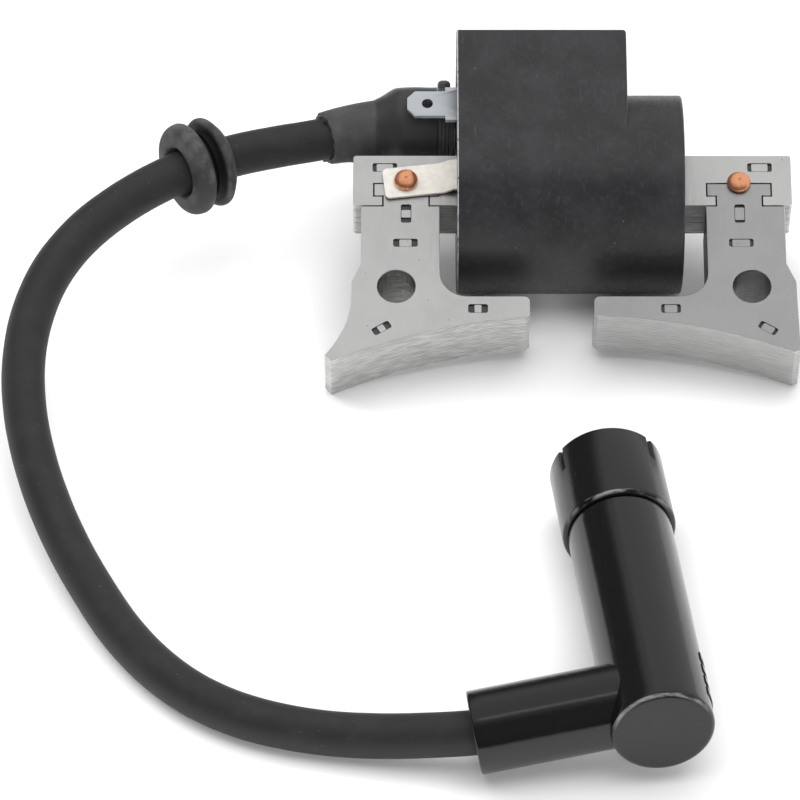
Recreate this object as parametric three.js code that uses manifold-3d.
// Ignition coil of a small engine: a laminated core with two pole shoes, a potted coil case,
// and a high-tension lead that carries a grommet and a right-angle spark-plug boot.
//
// Units are millimetres, +Z is up. The coil lies on a bench at z = 0, rolled back on its round
// case until the left pole shoe touches. Coil pieces are drawn in the coil's own axes, which the
// group `coil` rolls onto the bench: x along the core bar, y up the core's face, z out of the face.
// Boot pieces are drawn in the boot's own axes: y along the tube towards the plug, -x along the arm.

import * as THREE from 'three';
import { mergeVertices } from 'three/addons/utils/BufferGeometryUtils.js';
import Module from 'manifold-3d';

// ---------------------------------------------------------------- driving dimensions

const CLEARANCE = 0.3; // between two pieces that touch on the real object
const SEAM = 0.2; // between the core bar and a pole shoe in their T-joint
const DEGREE = Math.PI / 180;
const ROUND = { large: 48, fine: 32, plain: 24, small: 12 }; // facets round a turned piece

const LAMINATION = 0.5; // one sheet of core steel
const BAR = { halfLength: 36.1, halfHeight: 4.8, depth: 18 * LAMINATION, corner: 0.5 };
const SHOE_DEPTH = 22 * LAMINATION;
const FACE_Z = BAR.depth / 2; // bar and shoes share one front face
const HOLE = { x: 29, y: -20.3, radius: 3.15 }; // M6 mounting holes, 58 mm apart
const T_JOINT = { x: 27.4, top: -0.7, step: -2.9, halfHead: 5.2, halfNeck: 3.7 };
const STEM = { inner: 21.9, outer: 34.8 };
const FOOT = {
  top: -22.2, stepTop: -16, stepBottom: -19.4, outer: 36.3, fillet: 4.5, tip: 1, bevel: 0.6,
  end: [36.6, -32.4], // outer corner of a foot that ends straight
  flareStart: [36.4, -23.4], flareBend: [36.9, -28.7], flareEnd: [40.6, -33.2],
};
const FLYWHEEL_ARC = { radius: 95.2, apex: -25.8 }; // the faces that look at the flywheel
const DIMPLE_DEPTH = 0.35;

const CASE = { radius: 16.4, left: -19.1, right: 18.05, wall: 1.6 };
const BOX = { right: 8.9, top: 22.1, back: -10, edge: 0.6 };
const RESIN_RECESS = 0.8; // from the case's rim down to the resin
const RESIN_SKIN = 3.8; // resin over the windings at the open end

const PRIMARY = { bore: 7.6, winding: 9, flange: 9.2, halfLength: 14 };
const SECONDARY = { bore: 9.5, tube: 10.2, winding: 12.2, flange: 12.6, halfLength: 13 };
const SECTIONS = 4; // the secondary winding is wound in sections between ribs
const FLANGE = 1;

const BOARD = { left: -10, right: 6, y: 15.6, back: -6.5, front: 12.5, thickness: 1.2 };

const BURIED = CASE.left + 3; // how far the strap and the blade reach into the resin
const TERMINAL = {
  y: 14.05, z: 5.2, width: 4.8, base: 6.4, tip: -27.2, shoulder: -20.9, sheet: 0.8, chamfer: 1.3,
  holeX: -23.85, holeRadius: 0.9,
};
const STRAP = {
  width: 5.7, sheet: 0.5, left: -31.1, corner: 0.8, fold: -21.4, slope: 1.6, rise: 0.7,
  turn: 6.8 * DEGREE,
};
const RIVET = { y: -0.6, radius: 1.95, shank: 1.3, edge: 0.25, dome: 1.1 };

const TOWER = { y: 14.9, z: -2.1, collar: 6.3, spigot: 5.3, root: 4, step: -22.1, mouth: -28.7 };
const TOWER_FLOOR = -20.4; // where the lead stops inside the tower
const TOWER_PEG = { radius: 1.05, top: 7.5, turn: 30 * DEGREE }; // turned from +y towards +z
const SPIKE = { tip: -24.6, point: 1, radius: 0.9, hole: 1.2 };
const SLEEVE = { wall: 0.75, taper: 3.9, end: 12.6 }; // lengths run from the tower's mouth

const LEAD_RADIUS = 3.5;
const LEAD_SIDES = 12;
const GROMMET = { fromMouth: 35.2, radius: 7.6, groove: 5.9, bore: 4.4, halfLength: 3.65 };

const BOOT = {
  at: [12.6, -104.9, 10.95], pitch: 2, dip: 8.55, heading: 6.9, // degrees, as it lies on the bench
  closedEnd: -7.9, tubeEnd: 37, spigotEnd: 43.8, openEnd: 52.7,
  closedRadius: 8, tubeRadius: 8.25, spigotRadius: 6.9, edge: 1.1,
  armLength: 28.3, armRadius: 6.5, armEdge: 0.4,
  chamber: 5.9, chamberStart: 19.5, resistorBore: 3.3, screwBore: 1.5,
};
const MARKS = { from: [-3.4, -0.9, 1.6, 4.1], width: 1.6, halfHeight: 2.2, proud: 0.25 };
const SKIRT = { radius: 9, start: 37.3, edge: 0.5, bore: 5.6, mouth: 6.7, lip: 0.9, bevel: 1.6 };
const LEAD_IN_BOOT = 16.8; // length of lead inside the boot's arm
const SOCKET = { outer: 4.4, inner: 3.3, length: 12.5, base: 1.2, slot: 1, slotFrom: 4, waist: 0.4 };
const RESISTOR = { start: 7.2, cap: 2, capRadius: 2.7, rod: 2.4 };
const SPRING = { radius: 2, wire: 0.3, from: 2.6, to: 6.6, turns: 4 };
const SCREW = {
  point: 5.2, threadStart: 4, threads: 4, core: 0.8, crest: 1.2, neck: 1.1, head: 1.9,
  headFrom: -2.6, headTo: -1.6,
};

// The coil's axis over the bench, and the roll that brings the left shoe down to the bench.
const COIL_AT = [2, 5.2, CASE.radius];
const COIL_ROLL = 17.2 * DEGREE;

// The lead's centre line over the bench, from the tower's mouth to the boot's arm.
const LEAD_ROUTE = [
  [-34, 18.7, 18.8], [-39.4, 16.4, 18.9], [-46.3, 14.1, 19.3], [-52.9, 11.5, 19.8],
  [-59.8, 7.7, 20.5], [-66, 3.1, 21], [-72.6, -3, 21.1], [-78.5, -9.9, 20.6],
  [-83.1, -17.5, 19.2], [-85.9, -25.9, 17.1], [-86.9, -34.4, 14.6], [-86.3, -43, 12.1],
  [-84.5, -51.4, 9.7], [-81.8, -59.6, 7.5], [-78.4, -67.7, 5.8], [-74.4, -75.6, 4.5],
  [-69.8, -83.8, 3.8], [-64.4, -91.2, 3.6], [-58.2, -97.2, 3.6], [-51.4, -101.4, 3.6],
  [-44.3, -104, 3.6], [-37, -105.6, 3.7], [-29.6, -106.7, 4.3], [-22.3, -107.6, 5.4],
];

// ---------------------------------------------------------------- materials

const finish = (color, roughness, metalness) =>
  new THREE.MeshStandardMaterial({ color, roughness, metalness });

const FINISH = {
  moulding: finish(0x2a2a2b, 0.5, 0),
  resin: finish(0x1c1c1d, 0.35, 0),
  steel: finish(0xb4b6b8, 0.4, 1),
  copper: finish(0xb86941, 0.35, 1),
  tin: finish(0xdedbd2, 0.45, 1),
  nickel: finish(0xbec3c8, 0.3, 1),
  bobbin: finish(0xd8d2c0, 0.6, 0),
  board: finish(0x2f5d3a, 0.6, 0),
  chip: finish(0x18181a, 0.45, 0),
  capacitor: finish(0xb5652b, 0.5, 0),
  ceramic: finish(0xe6e0d2, 0.6, 0),
  brass: finish(0xc9a227, 0.3, 1),
  rubber: finish(0x303031, 0.8, 0),
  lead: finish(0x2c2c2d, 0.7, 0),
  boot: finish(0x111112, 0.18, 0),
};

// ---------------------------------------------------------------- solid modelling

const wasm = await Module();
wasm.setup();

function toSolid(geometry) {
  const bare = geometry.clone();
  bare.deleteAttribute('normal');
  bare.deleteAttribute('uv');
  const merged = mergeVertices(bare, 1e-4);
  return new wasm.Manifold(new wasm.Mesh({
    numProp: 3,
    vertProperties: new Float32Array(merged.attributes.position.array),
    triVerts: new Uint32Array(merged.index.array),
  }));
}

function toGeometry(solid) {
  const mesh = solid.getMesh();
  const geometry = new THREE.BufferGeometry();
  geometry.setAttribute('position', new THREE.BufferAttribute(mesh.vertProperties, 3));
  geometry.setIndex(new THREE.BufferAttribute(mesh.triVerts, 1));
  geometry.computeVertexNormals();
  return geometry;
}

const join = (first, ...others) =>
  toGeometry(others.map(toSolid).reduce((whole, piece) => whole.add(piece), toSolid(first)));

const cut = (first, ...tools) =>
  toGeometry(tools.map(toSolid).reduce((rest, tool) => rest.subtract(tool), toSolid(first)));

const overlap = (first, second) => toGeometry(toSolid(first).intersect(toSolid(second)));

// A box between two corners.
function block([x0, y0, z0], [x1, y1, z1]) {
  const box = new THREE.BoxGeometry(x1 - x0, y1 - y0, z1 - z0);
  return box.translate((x0 + x1) / 2, (y0 + y1) / 2, (z0 + z1) / 2);
}

// A plate of the shape's outline, from z = low to z = high.
function plate(shape, low, high, curveSegments = 4) {
  const options = { depth: high - low, bevelEnabled: false, curveSegments };
  return new THREE.ExtrudeGeometry(shape, options).translate(0, 0, low);
}

function roundedRectangle(halfWidth, halfHeight, corner) {
  const shape = new THREE.Shape();
  const [x, y, r] = [halfWidth, halfHeight, corner];
  shape.moveTo(x, -y + r);
  shape.absarc(x - r, y - r, r, 0, 90 * DEGREE);
  shape.absarc(-x + r, y - r, r, 90 * DEGREE, 180 * DEGREE);
  shape.absarc(-x + r, -y + r, r, 180 * DEGREE, 270 * DEGREE);
  shape.absarc(x - r, -y + r, r, 270 * DEGREE, 360 * DEGREE);
  return shape;
}

// A turned piece about Y from [distance, radius] pairs that start and end on the axis, or that
// close on themselves.
function turned(profile, segments = ROUND.plain) {
  const points = profile.map(([distance, radius]) => new THREE.Vector2(radius, distance));
  return new THREE.LatheGeometry(points, segments);
}

// The same piece about X, with distances running towards +x.
const turnedX = (profile, segments) => turned(profile, segments).rotateZ(-90 * DEGREE);

const rodProfile = (from, to, radius) => [[from, 0], [from, radius], [to, radius], [to, 0]];
const ringProfile = (from, to, inner, outer) =>
  [[from, inner], [from, outer], [to, outer], [to, inner], [from, inner]];

const rodX = (from, to, radius, segments) => turnedX(rodProfile(from, to, radius), segments);
const ringX = (from, to, inner, outer, segments) =>
  turnedX(ringProfile(from, to, inner, outer), segments);
const rodY = (from, to, radius, segments) => turned(rodProfile(from, to, radius), segments);
const rodZ = (from, to, radius, segments) =>
  rodY(from, to, radius, segments).rotateX(90 * DEGREE);

// A quarter-round edge of a turned profile, about [distance, radius] of its centre.
function roundEdge(distance, radius, size, fromAngle, toAngle, steps = 3) {
  return Array.from({ length: steps + 1 }, (_, step) => {
    const angle = (fromAngle + ((toAngle - fromAngle) * step) / steps) * DEGREE;
    return [distance + size * Math.sin(angle), radius + size * Math.cos(angle)];
  });
}

// Lays a piece that was turned about Y along a path: its distance along Y runs along the path.
function bendAlong(geometry, path, startDistance) {
  const length = path.getLength();
  const position = geometry.attributes.position;
  const side = new THREE.Vector3(0, 1, 0);
  const sideways = new THREE.Vector3();
  const upward = new THREE.Vector3();
  for (let index = 0; index < position.count; index += 1) {
    const fraction = (startDistance + position.getY(index)) / length;
    const tangent = path.getTangentAt(fraction);
    upward.crossVectors(side, tangent).normalize();
    sideways.crossVectors(tangent, upward);
    const point = path.getPointAt(fraction);
    point.addScaledVector(sideways, position.getX(index));
    point.addScaledVector(upward, position.getZ(index));
    position.setXYZ(index, point.x, point.y, point.z);
  }
  return geometry;
}

function piece(name, geometry, material) {
  const mesh = new THREE.Mesh(geometry, material);
  mesh.name = name;
  return mesh;
}

// ---------------------------------------------------------------- laminated core

// The dimples that lock the sheets together: centre, half length, half width and turn. Their
// x values are for the right shoe, and the left shoe has them mirrored.
const BAR_DIMPLE = [30.9, 2.5, 2, 0.8, 0];
const SHOE_DIMPLES = [
  [27.4, -6.4, 0.85, 1.75, 0],
  [27.5, -12, 2, 0.75, 0],
  [31.4, -28.2, 1.6, 0.7, -32 * DEGREE],
  [15.7, -24.5, 1.6, 0.8, 0],
];

function dimpleCutter([x, y, halfLength, halfWidth, turn], side) {
  const outline = roundedRectangle(halfLength, halfWidth, 0.3);
  const cutter = plate(outline, FACE_Z - DIMPLE_DEPTH, FACE_Z + 1, 1);
  return cutter.rotateZ(side * turn).translate(side * x, y, 0);
}

// The T-shaped head of a pole shoe, or with `grow` the slot for it in the bar.
function tOutline(grow) {
  const { x, top, step, halfHead, halfNeck } = T_JOINT;
  const bottom = -BAR.halfHeight - 1;
  const shape = new THREE.Shape();
  shape.moveTo(x - halfNeck - grow, bottom);
  shape.lineTo(x + halfNeck + grow, bottom);
  shape.lineTo(x + halfNeck + grow, step - grow);
  shape.lineTo(x + halfHead + grow, step - grow);
  shape.lineTo(x + halfHead + grow, top + grow);
  shape.lineTo(x - halfHead - grow, top + grow);
  shape.lineTo(x - halfHead - grow, step - grow);
  shape.lineTo(x - halfNeck - grow, step - grow);
  return shape;
}

function coreBar() {
  const outline = roundedRectangle(BAR.halfLength, BAR.halfHeight, BAR.corner);
  const slot = plate(tOutline(SEAM), -BAR.depth, BAR.depth);
  const rivetHole = rodZ(-BAR.depth, BAR.depth, RIVET.shank + SEAM, ROUND.small)
    .translate(T_JOINT.x, RIVET.y, 0);
  const tools = [-1, 1].flatMap((side) => [
    slot.clone().rotateY(side < 0 ? Math.PI : 0),
    rivetHole.clone().translate(side < 0 ? -2 * T_JOINT.x : 0, 0, 0),
    dimpleCutter(BAR_DIMPLE, side),
  ]);
  return cut(plate(outline, -BAR.depth / 2, BAR.depth / 2, 2), ...tools);
}

// Height of the flywheel arc at a distance from the coil's middle plane.
const flywheelY = (x) => FLYWHEEL_ARC.apex - FLYWHEEL_ARC.radius
  + Math.sqrt(FLYWHEEL_ARC.radius ** 2 - x ** 2);

// Outline of the right-hand shoe. `innerTip` is how near its foot comes to the middle plane. A
// flared foot spreads outward, and the other kind ends straight.
function shoeOutline(innerTip, flared) {
  const { x, top, step, halfHead, halfNeck } = T_JOINT;
  const shoulder = -BAR.halfHeight - SEAM;
  const shape = new THREE.Shape();
  const arcCentre = FLYWHEEL_ARC.apex - FLYWHEEL_ARC.radius;
  const arcAngle = (distance) => Math.acos(distance / FLYWHEEL_ARC.radius);
  shape.moveTo(x - halfNeck, shoulder);
  shape.lineTo(x - halfNeck, step);
  shape.lineTo(x - halfHead, step);
  shape.lineTo(x - halfHead, top);
  shape.lineTo(x + halfHead, top);
  shape.lineTo(x + halfHead, step);
  shape.lineTo(x + halfNeck, step);
  shape.lineTo(x + halfNeck, shoulder);
  shape.lineTo(STEM.outer, shoulder);
  shape.lineTo(STEM.outer, FOOT.stepTop);
  shape.lineTo(FOOT.outer, FOOT.stepBottom);
  if (flared) {
    shape.lineTo(...FOOT.flareStart);
    shape.quadraticCurveTo(...FOOT.flareBend, ...FOOT.flareEnd);
  } else {
    shape.lineTo(...FOOT.end);
  }
  const arcStart = (flared ? FOOT.flareEnd[0] : FOOT.end[0]) - 1;
  const arcEnd = innerTip + FOOT.bevel;
  shape.lineTo(arcStart, flywheelY(arcStart));
  shape.absarc(0, arcCentre, FLYWHEEL_ARC.radius, arcAngle(arcStart), arcAngle(arcEnd));
  shape.lineTo(innerTip, flywheelY(innerTip) + FOOT.bevel);
  shape.lineTo(innerTip, FOOT.top - FOOT.tip);
  shape.absarc(innerTip + FOOT.tip, FOOT.top - FOOT.tip, FOOT.tip, Math.PI, Math.PI / 2, true);
  shape.lineTo(STEM.inner - FOOT.fillet, FOOT.top);
  shape.absarc(STEM.inner - FOOT.fillet, FOOT.top + FOOT.fillet, FOOT.fillet, -Math.PI / 2, 0);
  shape.lineTo(STEM.inner, shoulder);
  return shape;
}

function poleShoe(side, innerTip, flared) {
  const stack = plate(shoeOutline(innerTip, flared), -SHOE_DEPTH / 2, SHOE_DEPTH / 2, 6);
  stack.rotateY(side < 0 ? Math.PI : 0).translate(0, 0, FACE_Z - SHOE_DEPTH / 2);
  const boltHole = rodZ(-SHOE_DEPTH, SHOE_DEPTH, HOLE.radius, ROUND.plain)
    .translate(side * HOLE.x, HOLE.y, 0);
  const rivetHole = rodZ(-SHOE_DEPTH, SHOE_DEPTH, RIVET.shank + SEAM, ROUND.small)
    .translate(side * T_JOINT.x, RIVET.y, 0);
  const dimples = SHOE_DIMPLES.map((dimple) => dimpleCutter(dimple, side));
  return cut(stack, boltHole, rivetHole, ...dimples);
}

// A rivet with a domed head. `under` is the height of the head's underside over the core's face.
function coreRivet(side, under) {
  const head = FACE_Z + under;
  const profile = [
    [-FACE_Z, 0], [-FACE_Z, RIVET.shank], [head, RIVET.shank], [head, RIVET.radius],
    [head + RIVET.edge, RIVET.radius],
  ];
  for (let angle = 20; angle < 90; angle += 17.5) {
    const height = RIVET.edge + (RIVET.dome - RIVET.edge) * Math.sin(angle * DEGREE);
    profile.push([head + height, RIVET.radius * Math.cos(angle * DEGREE)]);
  }
  profile.push([head + RIVET.dome, 0]);
  return turned(profile).rotateX(90 * DEGREE).translate(side * T_JOINT.x, RIVET.y, 0);
}

// The strap that grounds the primary winding: flat under the left rivet, then lifted into the
// resin. It lies turned a little about the rivet.
function groundStrap() {
  const { left, fold, slope, rise, sheet, width, corner } = STRAP;
  const low = FACE_Z + SEAM;
  const section = new THREE.Shape();
  section.moveTo(left, low);
  section.lineTo(fold, low);
  section.lineTo(fold + slope, low + rise);
  section.lineTo(BURIED, low + rise);
  section.lineTo(BURIED, low + rise + sheet);
  section.lineTo(fold + slope - sheet / 4, low + rise + sheet);
  section.lineTo(fold - sheet / 4, low + sheet);
  section.lineTo(left, low + sheet);
  const bent = plate(section, -width / 2, width / 2).rotateX(90 * DEGREE);
  const halfLength = (BURIED - left) / 2;
  const outline = plate(roundedRectangle(halfLength, width / 2, corner), 0, 2 * BAR.depth, 4)
    .translate(left + halfLength, 0, 0);
  const shankHole = rodZ(0, BAR.depth, RIVET.shank + SEAM, ROUND.small)
    .translate(-T_JOINT.x, 0, 0);
  return cut(overlap(bent, outline), shankHole)
    .translate(T_JOINT.x, 0, 0).rotateZ(STRAP.turn).translate(-T_JOINT.x, RIVET.y, 0);
}

// ---------------------------------------------------------------- coil case and its contents

// The case's outer form, or with `inset` its hollow: a drum with a box tangent to its front.
function caseForm(inset, left, right, boxRight) {
  const drum = rodX(left, right, CASE.radius - inset, ROUND.large);
  const low = [left, 0, BOX.back + inset];
  const high = [boxRight, BOX.top - inset, CASE.radius - inset];
  const box = plate(
    roundedRectangle((high[0] - low[0]) / 2, (high[1] - low[1]) / 2, inset ? 0.2 : BOX.edge),
    low[2], high[2], 3,
  ).translate((low[0] + high[0]) / 2, (low[1] + high[1]) / 2, 0);
  return join(drum, box);
}

const barTunnel = (from, to) => block(
  [from, -BAR.halfHeight - CLEARANCE, -BAR.depth / 2 - CLEARANCE],
  [to, BAR.halfHeight + CLEARANCE, BAR.depth / 2 + CLEARANCE],
);

function caseShell() {
  const { left, right, wall } = CASE;
  const hollow = caseForm(wall, left - 1, right - wall, BOX.right - wall);
  return cut(caseForm(0, left, right, BOX.right), hollow, barTunnel(0, right + 1));
}

// The resin that fills the case. It is open towards the case's closed end, where the windings
// and the circuit board stand in it.
function pottingResin() {
  const inset = CASE.wall + CLEARANCE;
  const left = CASE.left + RESIN_RECESS;
  const right = CASE.right - inset;
  const skin = left + RESIN_SKIN;
  const filling = caseForm(inset, left, right, BOX.right - inset);
  const windings = rodX(skin, right + 1, SECONDARY.flange + CLEARANCE, ROUND.fine);
  const electronics = block(
    [BOARD.left - CLEARANCE, BOARD.y - CLEARANCE, BOARD.back - CLEARANCE],
    [BOX.right, BOX.top - inset - 0.8, BOARD.front + CLEARANCE],
  );
  const strapTop = FACE_Z + SEAM + STRAP.rise + STRAP.sheet;
  const strapSlot = block([left - 1, -4, FACE_Z], [skin + 1, 5, strapTop + 4 * CLEARANCE]);
  const terminalSlot = block(
    [left - 1, TERMINAL.y - TERMINAL.base / 2 - CLEARANCE, TERMINAL.z - CLEARANCE],
    [left + 2.8, TERMINAL.y + TERMINAL.base / 2 + CLEARANCE,
      TERMINAL.z + TERMINAL.sheet + CLEARANCE],
  );
  const root = rodX(left - 1, left + 1.6, TOWER.root + CLEARANCE);
  const spikeHole = rodX(left, left + 4, SPIKE.hole, ROUND.small);
  return cut(
    filling, windings, electronics, barTunnel(left - 1, skin + 1), strapSlot, terminalSlot,
    root.translate(0, TOWER.y, TOWER.z), spikeHole.translate(0, TOWER.y, TOWER.z),
  );
}

function primaryBobbin() {
  const { bore, flange, halfLength } = PRIMARY;
  const body = turnedX([
    [-halfLength, 0], [-halfLength, flange], [FLANGE - halfLength, flange],
    [FLANGE - halfLength, bore], [halfLength - FLANGE, bore], [halfLength - FLANGE, flange],
    [halfLength, flange], [halfLength, 0],
  ]);
  return cut(body, barTunnel(-halfLength - 1, halfLength + 1));
}

function primaryWinding() {
  const reach = PRIMARY.halfLength - FLANGE - CLEARANCE;
  return ringX(-reach, reach, PRIMARY.bore + CLEARANCE, PRIMARY.winding);
}

// Width of one winding slot between two ribs of the secondary bobbin.
const SLOT_PITCH = (2 * SECONDARY.halfLength - FLANGE) / SECTIONS;

function secondaryBobbin() {
  const { bore, tube, flange, halfLength } = SECONDARY;
  const profile = [[-halfLength, bore]];
  for (let rib = 0; rib <= SECTIONS; rib += 1) {
    const start = rib * SLOT_PITCH - halfLength;
    profile.push([start, flange], [start + FLANGE, flange]);
    if (rib < SECTIONS) profile.push([start + FLANGE, tube], [start + SLOT_PITCH, tube]);
  }
  profile.push([halfLength, bore], [-halfLength, bore]);
  return turnedX(profile);
}

function secondarySection(index) {
  const start = index * SLOT_PITCH - SECONDARY.halfLength + FLANGE + CLEARANCE;
  const end = (index + 1) * SLOT_PITCH - SECONDARY.halfLength - CLEARANCE;
  return ringX(start, end, SECONDARY.tube + CLEARANCE, SECONDARY.winding);
}

// Parts of the trigger circuit stand on the board: [x, z] of the centre, half sizes and height.
function onBoard([x, z], [halfX, halfZ], height) {
  const base = BOARD.y + BOARD.thickness + CLEARANCE;
  return block([x - halfX, base, z - halfZ], [x + halfX, base + height, z + halfZ]);
}

const triggerBoard = () => block(
  [BOARD.left, BOARD.y, BOARD.back],
  [BOARD.right, BOARD.y + BOARD.thickness, BOARD.front],
);

function boardResistor(z) {
  const base = BOARD.y + BOARD.thickness + CLEARANCE;
  return rodX(-8.8, -4.4, 0.85, ROUND.small).translate(0, base + 0.85, z);
}

// The blade for the stop-switch wire: a chamfered tab with a locking hole, and a wider base.
function stopTerminal() {
  const { width, base, tip, shoulder, sheet, chamfer } = TERMINAL;
  const shape = new THREE.Shape();
  shape.moveTo(tip, -width / 2 + chamfer);
  shape.lineTo(tip + chamfer, -width / 2);
  shape.lineTo(shoulder, -width / 2);
  shape.lineTo(shoulder, -base / 2);
  shape.lineTo(BURIED, -base / 2);
  shape.lineTo(BURIED, base / 2);
  shape.lineTo(shoulder, base / 2);
  shape.lineTo(shoulder, width / 2);
  shape.lineTo(tip + chamfer, width / 2);
  shape.lineTo(tip, width / 2 - chamfer);
  const hole = new THREE.Path();
  hole.absarc(TERMINAL.holeX, 0, TERMINAL.holeRadius, 0, 2 * Math.PI, true);
  shape.holes.push(hole);
  return plate(shape, 0, sheet, 8).translate(0, TERMINAL.y, TERMINAL.z);
}

// ---------------------------------------------------------------- high-tension outlet

function outletTower() {
  const { collar, spigot, root, step, mouth } = TOWER;
  const rim = CASE.left - CLEARANCE;
  const rootEnd = CASE.left + RESIN_RECESS + 1.3;
  const bore = LEAD_RADIUS + CLEARANCE;
  const body = turnedX([
    [mouth, bore], [mouth, spigot], [step, spigot], [step, collar], [rim, collar],
    [rim, root], [rootEnd, root], [rootEnd, SPIKE.hole], [TOWER_FLOOR + CLEARANCE, SPIKE.hole],
    [TOWER_FLOOR + CLEARANCE, bore], [mouth, bore],
  ]);
  const peg = rodY(collar - 0.5, TOWER_PEG.top, TOWER_PEG.radius, ROUND.small)
    .rotateX(TOWER_PEG.turn).translate((step + rim) / 2, 0, 0);
  return join(body, peg).translate(0, TOWER.y, TOWER.z);
}

// The brass spike that takes the secondary winding's end into the lead's core.
function outletSpike() {
  const end = CASE.left + RESIN_RECESS + 3.4;
  const { tip, point, radius } = SPIKE;
  const profile = [[tip, 0], [tip + point, radius], [end, radius], [end, 0]];
  return turnedX(profile, ROUND.small).translate(0, TOWER.y, TOWER.z);
}

// ---------------------------------------------------------------- placing on the bench

const coil = new THREE.Group();
coil.position.set(...COIL_AT);
coil.rotation.x = COIL_ROLL;
coil.updateMatrixWorld(true);

const boot = new THREE.Group();
boot.position.set(...BOOT.at);
boot.rotation.set(-BOOT.pitch * DEGREE, -BOOT.dip * DEGREE, BOOT.heading * DEGREE, 'ZXY');
boot.updateMatrixWorld(true);

// The lead starts inside the tower and ends inside the boot's arm, straight in both.
const towerPoint = (x) => coil.localToWorld(new THREE.Vector3(x, TOWER.y, TOWER.z));
const armPoint = (distance) => boot.localToWorld(new THREE.Vector3(-distance, 0, 0));

const leadPath = new THREE.CatmullRomCurve3([
  ...[TOWER_FLOOR, TOWER_FLOOR - 4, TOWER.mouth + 1].map(towerPoint),
  ...LEAD_ROUTE.map((point) => new THREE.Vector3(...point)),
  ...[BOOT.armLength - 1, BOOT.armLength - 8, BOOT.armLength - LEAD_IN_BOOT].map(armPoint),
], false, 'centripetal');

// Distance along the lead to the tower's mouth.
const mouthDistance = TOWER_FLOOR - TOWER.mouth;

// ---------------------------------------------------------------- lead and grommet

function highTensionLead() {
  const section = new THREE.Shape();
  section.absarc(0, 0, LEAD_RADIUS, 0, 2 * Math.PI);
  const steps = Math.round(leadPath.getLength() / (2 * LEAD_RADIUS));
  const jacket = new THREE.ExtrudeGeometry(section, {
    steps, curveSegments: LEAD_SIDES / 2, bevelEnabled: false, extrudePath: leadPath,
  });
  const spikeHole = rodX(SPIKE.tip - 0.4, TOWER_FLOOR + 1, SPIKE.hole, ROUND.small)
    .translate(0, TOWER.y, TOWER.z).applyMatrix4(coil.matrixWorld);
  const inner = BOOT.armLength - LEAD_IN_BOOT;
  const screwHole = rodX(-inner - 6, -inner + 1, BOOT.screwBore, ROUND.small)
    .applyMatrix4(boot.matrixWorld);
  return cut(jacket, spikeHole, screwHole);
}

// Heat-shrunk over the tower's spigot and down onto the lead.
function shrinkSleeve() {
  const start = TOWER.step - CLEARANCE - TOWER.mouth;
  const { taper, end, wall } = SLEEVE;
  const over = TOWER.spigot + CLEARANCE;
  const onLead = LEAD_RADIUS + CLEARANCE;
  const profile = [
    [-start, over], [-start, over + wall], [0, over + wall], [taper / 2, onLead + wall + 0.9],
    [taper, onLead + wall + 0.1], [end / 2, onLead + wall], [end, onLead + wall], [end, onLead],
    [end / 2, onLead], [taper, onLead], [CLEARANCE, over], [-start, over],
  ];
  return bendAlong(turned(profile), leadPath, mouthDistance);
}

// A panel grommet: two rounded flanges with a groove between them for the edge of the hole.
function leadGrommet() {
  const { radius, groove, bore, halfLength } = GROMMET;
  const bead = (radius - bore) / 2; // the flange that faces the boot is a full round bead
  const profile = [
    [0, bore], ...roundEdge(bead - halfLength, bore + bead, bead, -180, 0, 6),
    ...roundEdge(-1.6, radius - 1, 1, 0, 90), [-0.6, groove], [1.2, groove],
    ...roundEdge(2.2, radius - 1, 1, -90, 0), ...roundEdge(halfLength - 1.4, 6.2, 1.4, 0, 180, 5),
    [1.9, bore], [0, bore],
  ];
  const fraction = (mouthDistance + GROMMET.fromMouth) / leadPath.getLength();
  const centre = leadPath.getPointAt(fraction);
  const along = leadPath.getTangentAt(fraction);
  const turn = new THREE.Quaternion().setFromUnitVectors(new THREE.Vector3(0, -1, 0), along);
  return turned(profile).applyQuaternion(turn).translate(centre.x, centre.y, centre.z);
}

// ---------------------------------------------------------------- spark-plug boot

// Four short raised marks on the side of the tube, beside its closed end.
function sideMarks() {
  const { from, width, halfHeight, proud } = MARKS;
  const radius = BOOT.closedRadius + proud;
  return from.map((y) => block([radius - 1, y, -halfHeight], [radius, y + width, halfHeight]));
}

function bootBody() {
  const { closedEnd, tubeEnd, spigotEnd, closedRadius, tubeRadius, spigotRadius, edge } = BOOT;
  const tube = turned([
    [closedEnd, 0], ...roundEdge(closedEnd + edge, closedRadius - edge, edge, -90, 0),
    [tubeEnd, tubeRadius], [tubeEnd, spigotRadius], [spigotEnd, spigotRadius], [spigotEnd, 0],
  ], ROUND.fine);
  const { armLength, armRadius, armEdge } = BOOT;
  const arm = turnedX([
    [-armLength, 0], [-armLength, armRadius - armEdge], [armEdge - armLength, armRadius],
    [0, armRadius], [0, 0],
  ], ROUND.fine);
  const inner = armLength - LEAD_IN_BOOT;
  return cut(
    join(tube, arm, ...sideMarks()),
    rodY(BOOT.chamberStart, spigotEnd + 1, BOOT.chamber),
    rodY(-3, BOOT.chamberStart + 1, BOOT.resistorBore),
    rodX(-armLength - 1, CLEARANCE - inner, LEAD_RADIUS + CLEARANCE),
    rodX(-inner - 1, 0, BOOT.screwBore, ROUND.small),
  );
}

// The rubber skirt that grips the spigot and seals on the plug's insulator.
function bootSkirt() {
  const { radius, start, edge, bore, mouth, lip, bevel } = SKIRT;
  const over = BOOT.spigotRadius + CLEARANCE;
  const seat = BOOT.spigotEnd + CLEARANCE;
  return turned([
    [start, over], ...roundEdge(start + edge, radius - edge, edge, -90, 0, 2),
    ...roundEdge(BOOT.openEnd - lip, radius - lip, lip, 0, 90), [BOOT.openEnd, mouth],
    [BOOT.openEnd - bevel, bore], [seat, bore], [seat, over], [start, over],
  ], ROUND.fine);
}

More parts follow.
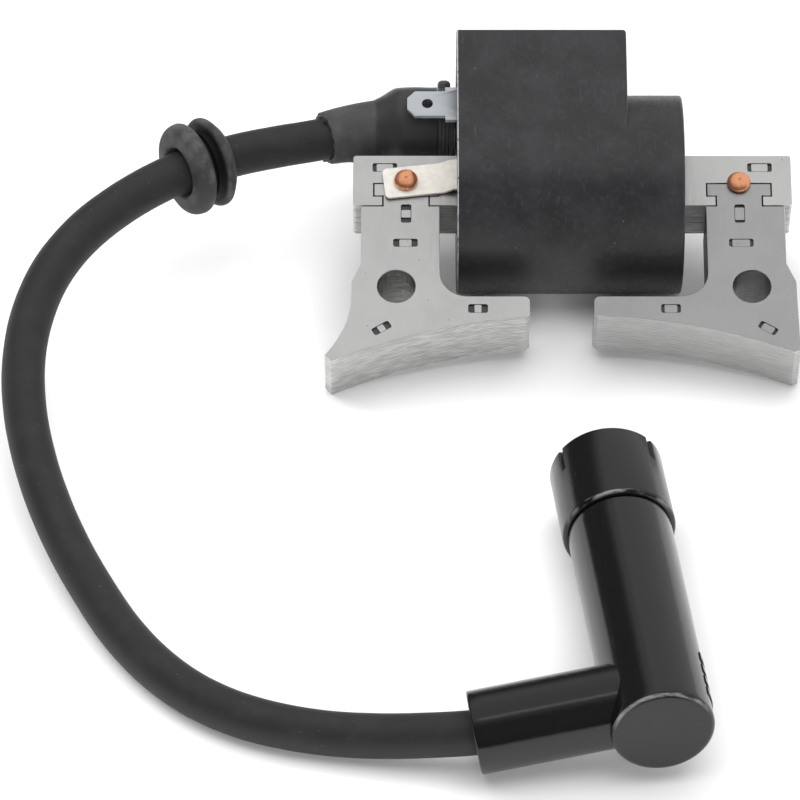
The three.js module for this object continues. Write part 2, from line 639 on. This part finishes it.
// The slotted brass socket that snaps on the spark plug's terminal nut.
function plugSocket() {
  const { outer, inner, base, slot, slotFrom, waist } = SOCKET;
  const start = BOOT.chamberStart + CLEARANCE;
  const end = start + SOCKET.length;
  const cup = turned([
    [start, 0], [start, outer], [end - 3, outer], [end - 2, outer - waist], [end, outer + waist],
    [end, inner + waist], [end - 2, inner - waist], [end - 3, inner], [start + base, inner],
    [start + base, 0],
  ]);
  return cut(
    cup,
    block([-outer - 1, start + slotFrom, -slot / 2], [outer + 1, end + 1, slot / 2]),
    block([-slot / 2, start + slotFrom, -outer - 1], [slot / 2, end + 1, outer + 1]),
  );
}

// A ceramic rod between two metal caps, which takes the radio noise out of the spark.
function suppressorResistor() {
  const { start, cap, capRadius, rod } = RESISTOR;
  const end = BOOT.chamberStart - CLEARANCE;
  return turned([
    [start, 0], [start, capRadius], [start + cap, capRadius], [start + cap, rod],
    [end - cap, rod], [end - cap, capRadius], [end, capRadius], [end, 0],
  ]);
}

class Helix extends THREE.Curve {
  constructor(radius, from, to, turns) {
    super();
    Object.assign(this, { radius, from, to, turns });
  }

  getPoint(fraction, target = new THREE.Vector3()) {
    const angle = 2 * Math.PI * this.turns * fraction;
    const height = this.from + (this.to - this.from) * fraction;
    return target.set(this.radius * Math.cos(angle), height, this.radius * Math.sin(angle));
  }
}

function contactSpring() {
  const { radius, wire, from, to, turns } = SPRING;
  const section = new THREE.Shape();
  section.absarc(0, 0, wire, 0, 2 * Math.PI);
  return new THREE.ExtrudeGeometry(section, {
    steps: 10 * turns, curveSegments: 3, bevelEnabled: false,
    extrudePath: new Helix(radius, from, to, turns),
  });
}

// The wood-screw contact that the lead is turned onto. Its head carries the spring.
function leadScrew() {
  const { point, threadStart, threads, core, crest, neck, head, headFrom, headTo } = SCREW;
  const inner = LEAD_IN_BOOT - BOOT.armLength;
  const profile = [[inner - point, 0], [inner - threadStart, core / 2]];
  for (let thread = 0; thread < threads; thread += 1) {
    const start = inner - threadStart + thread;
    profile.push([start + 0.3, core], [start + 0.6, crest], [start + 0.9, core]);
  }
  profile.push([inner + 0.2, neck], [headFrom, neck], [headFrom, head], [headTo, head], [headTo, 0]);
  return turnedX(profile, ROUND.small);
}

// ---------------------------------------------------------------- assembly

coil.add(
  piece('case_shell', caseShell(), FINISH.moulding),
  piece('potting_resin', pottingResin(), FINISH.resin),
  piece('core_bar', coreBar(), FINISH.steel),
  piece('left_pole_shoe', poleShoe(-1, 7.2, true), FINISH.steel),
  piece('right_pole_shoe', poleShoe(1, 3.2, false), FINISH.steel),
  piece('left_core_rivet', coreRivet(-1, 2 * SEAM + STRAP.sheet), FINISH.copper),
  piece('right_core_rivet', coreRivet(1, SEAM), FINISH.copper),
  piece('ground_strap', groundStrap(), FINISH.tin),
  piece('stop_terminal', stopTerminal(), FINISH.nickel),
  piece('primary_bobbin', primaryBobbin(), FINISH.bobbin),
  piece('primary_winding', primaryWinding(), FINISH.copper),
  piece('secondary_bobbin', secondaryBobbin(), FINISH.bobbin),
  ...Array.from({ length: SECTIONS }, (_, index) =>
    piece(`secondary_winding_${index + 1}`, secondarySection(index), FINISH.copper)),
  piece('trigger_board', triggerBoard(), FINISH.board),
  piece('power_transistor', onBoard([1.6, 1], [2.5, 2.3], 1.6), FINISH.chip),
  piece('trigger_chip', onBoard([-6.4, 9], [1.9, 1.5], 1.2), FINISH.chip),
  piece('board_capacitor', onBoard([-6.5, -3], [1.6, 1.2], 1.5), FINISH.capacitor),
  piece('base_resistor', boardResistor(1), FINISH.ceramic),
  piece('bias_resistor', boardResistor(4), FINISH.ceramic),
  piece('outlet_tower', outletTower(), FINISH.moulding),
  piece('outlet_spike', outletSpike(), FINISH.brass),
);

boot.add(
  piece('boot_body', bootBody(), FINISH.boot),
  piece('boot_skirt', bootSkirt(), FINISH.boot),
  piece('plug_socket', plugSocket(), FINISH.brass),
  piece('suppressor_resistor', suppressorResistor(), FINISH.ceramic),
  piece('contact_spring', contactSpring(), FINISH.nickel),
  piece('lead_screw', leadScrew(), FINISH.brass),
);

const ignitionCoil = new THREE.Group();
ignitionCoil.add(
  coil,
  piece('shrink_sleeve', shrinkSleeve(), FINISH.rubber),
  piece('high_tension_lead', highTensionLead(), FINISH.lead),
  piece('lead_grommet', leadGrommet(), FINISH.rubber),
  boot,
);

export default ignitionCoil;
